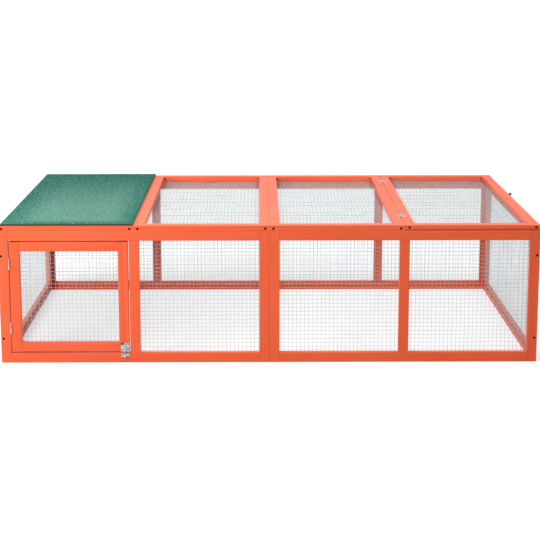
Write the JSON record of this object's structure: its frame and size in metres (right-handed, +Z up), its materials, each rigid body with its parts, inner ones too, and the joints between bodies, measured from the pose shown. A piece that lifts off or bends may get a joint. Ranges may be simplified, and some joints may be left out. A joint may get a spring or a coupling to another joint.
{
  "type": "outdoor pet cage",
  "caption": "Low timber-framed outdoor pet cage with welded wire nets, an open bottom, a felted roof board at one end, a hinged net lid at the other and a front door with a barrel bolt.",
  "frame": {"origin": "centre of the footprint on the ground plane", "axes": "+X along the run towards the lid end, -Y out of the front wall with the door, +Z up"},
  "size_m": [1.825, 1.0148, 0.48],
  "materials": {
    "stained_wood": "orange-brown stain, satin, sawn softwood",
    "roof_board": "bare thin board",
    "roof_felt": "matt green mineral granules on roofing felt",
    "wire_mesh": "bright galvanised wire",
    "zinc_hardware": "satin zinc plate",
    "black_screw": "black, satin",
    "dark_fitting": "dark, satin"
  },
  "bodies": {
    "run": {"back_left_mullion": "stained_wood", "back_left_net": "wire_mesh", "back_left_posts": "stained_wood", "back_left_rails": "stained_wood", "back_right_mullion": "stained_wood", "back_right_net": "wire_mesh", "back_right_posts": "stained_wood", "back_right_rails": "stained_wood", "bolt_keeper": "zinc_hardware", "catch_pivot": "zinc_hardware", "door_hinge_frame_leaves": "zinc_hardware", "door_hinge_pins": "zinc_hardware", "fittings_screws_run": "black_screw", "front_left_mullion": "stained_wood", "front_left_net": "wire_mesh", "front_left_posts": "stained_wood", "front_left_rails": "stained_wood", "front_right_mullion": "stained_wood", "front_right_net": "wire_mesh", "front_right_posts": "stained_wood", "front_right_rails": "stained_wood", "left_end_net": "wire_mesh", "left_end_posts": "stained_wood", "left_end_rails": "stained_wood", "lid_hinge_fixed_leaves": "zinc_hardware", "lid_hinge_pins": "zinc_hardware", "right_end_net": "wire_mesh", "right_end_posts": "stained_wood", "right_end_rails": "stained_wood", "roof_1_board": "roof_board", "roof_1_felt": "roof_felt", "roof_1_rails": "stained_wood", "roof_1_stiles": "stained_wood", "roof_2_net": "wire_mesh", "roof_2_rails": "stained_wood", "roof_2_stiles": "stained_wood", "roof_3_net": "wire_mesh", "roof_3_rails": "stained_wood", "roof_3_stiles": "stained_wood", "roof_fixing_screws": "black_screw", "roof_frame_screws": "black_screw", "wall_frame_screws": "black_screw", "wall_joining_screws": "black_screw"},
    "door": {"door_stiles": "stained_wood", "door_rails": "stained_wood", "door_net": "wire_mesh", "door_hinge_door_leaves": "zinc_hardware", "bolt_plate": "zinc_hardware", "door_frame_screws": "black_screw", "fittings_screws_door": "black_screw"},
    "door_bolt": {"bolt_rod": "zinc_hardware", "bolt_knob": "dark_fitting"},
    "lid": {"lid_rails": "stained_wood", "lid_stiles": "stained_wood", "lid_net": "wire_mesh", "lid_hinge_lid_leaves": "zinc_hardware", "lid_stud": "dark_fitting", "lid_frame_screws": "black_screw", "fittings_screws_lid": "black_screw"},
    "lid_catch": {"catch_hook": "zinc_hardware"}
  },
  "joints": [
    {"name": "door_hinge", "type": "hinge", "parent": "run", "child": "door", "pos_m": [-0.8695, -0.50225, 0.2275], "axis": [0, 0, -1], "range_deg": [0, 180]},
    {"name": "door_bolt_slide", "type": "slide", "parent": "door", "child": "door_bolt", "axis": [0, 0, -1], "range_m": [0, 0.014]},
    {"name": "lid_hinge", "type": "hinge", "parent": "run", "child": "lid", "pos_m": [0.453, 0, 0.47525], "axis": [0, -1, 0], "range_deg": [0, 180]},
    {"name": "lid_catch_pivot", "type": "hinge", "parent": "run", "child": "lid_catch", "pos_m": [0.907, 0.11, 0.43725], "axis": [1, 0, 0], "range_deg": [0, 180]}
  ]
}
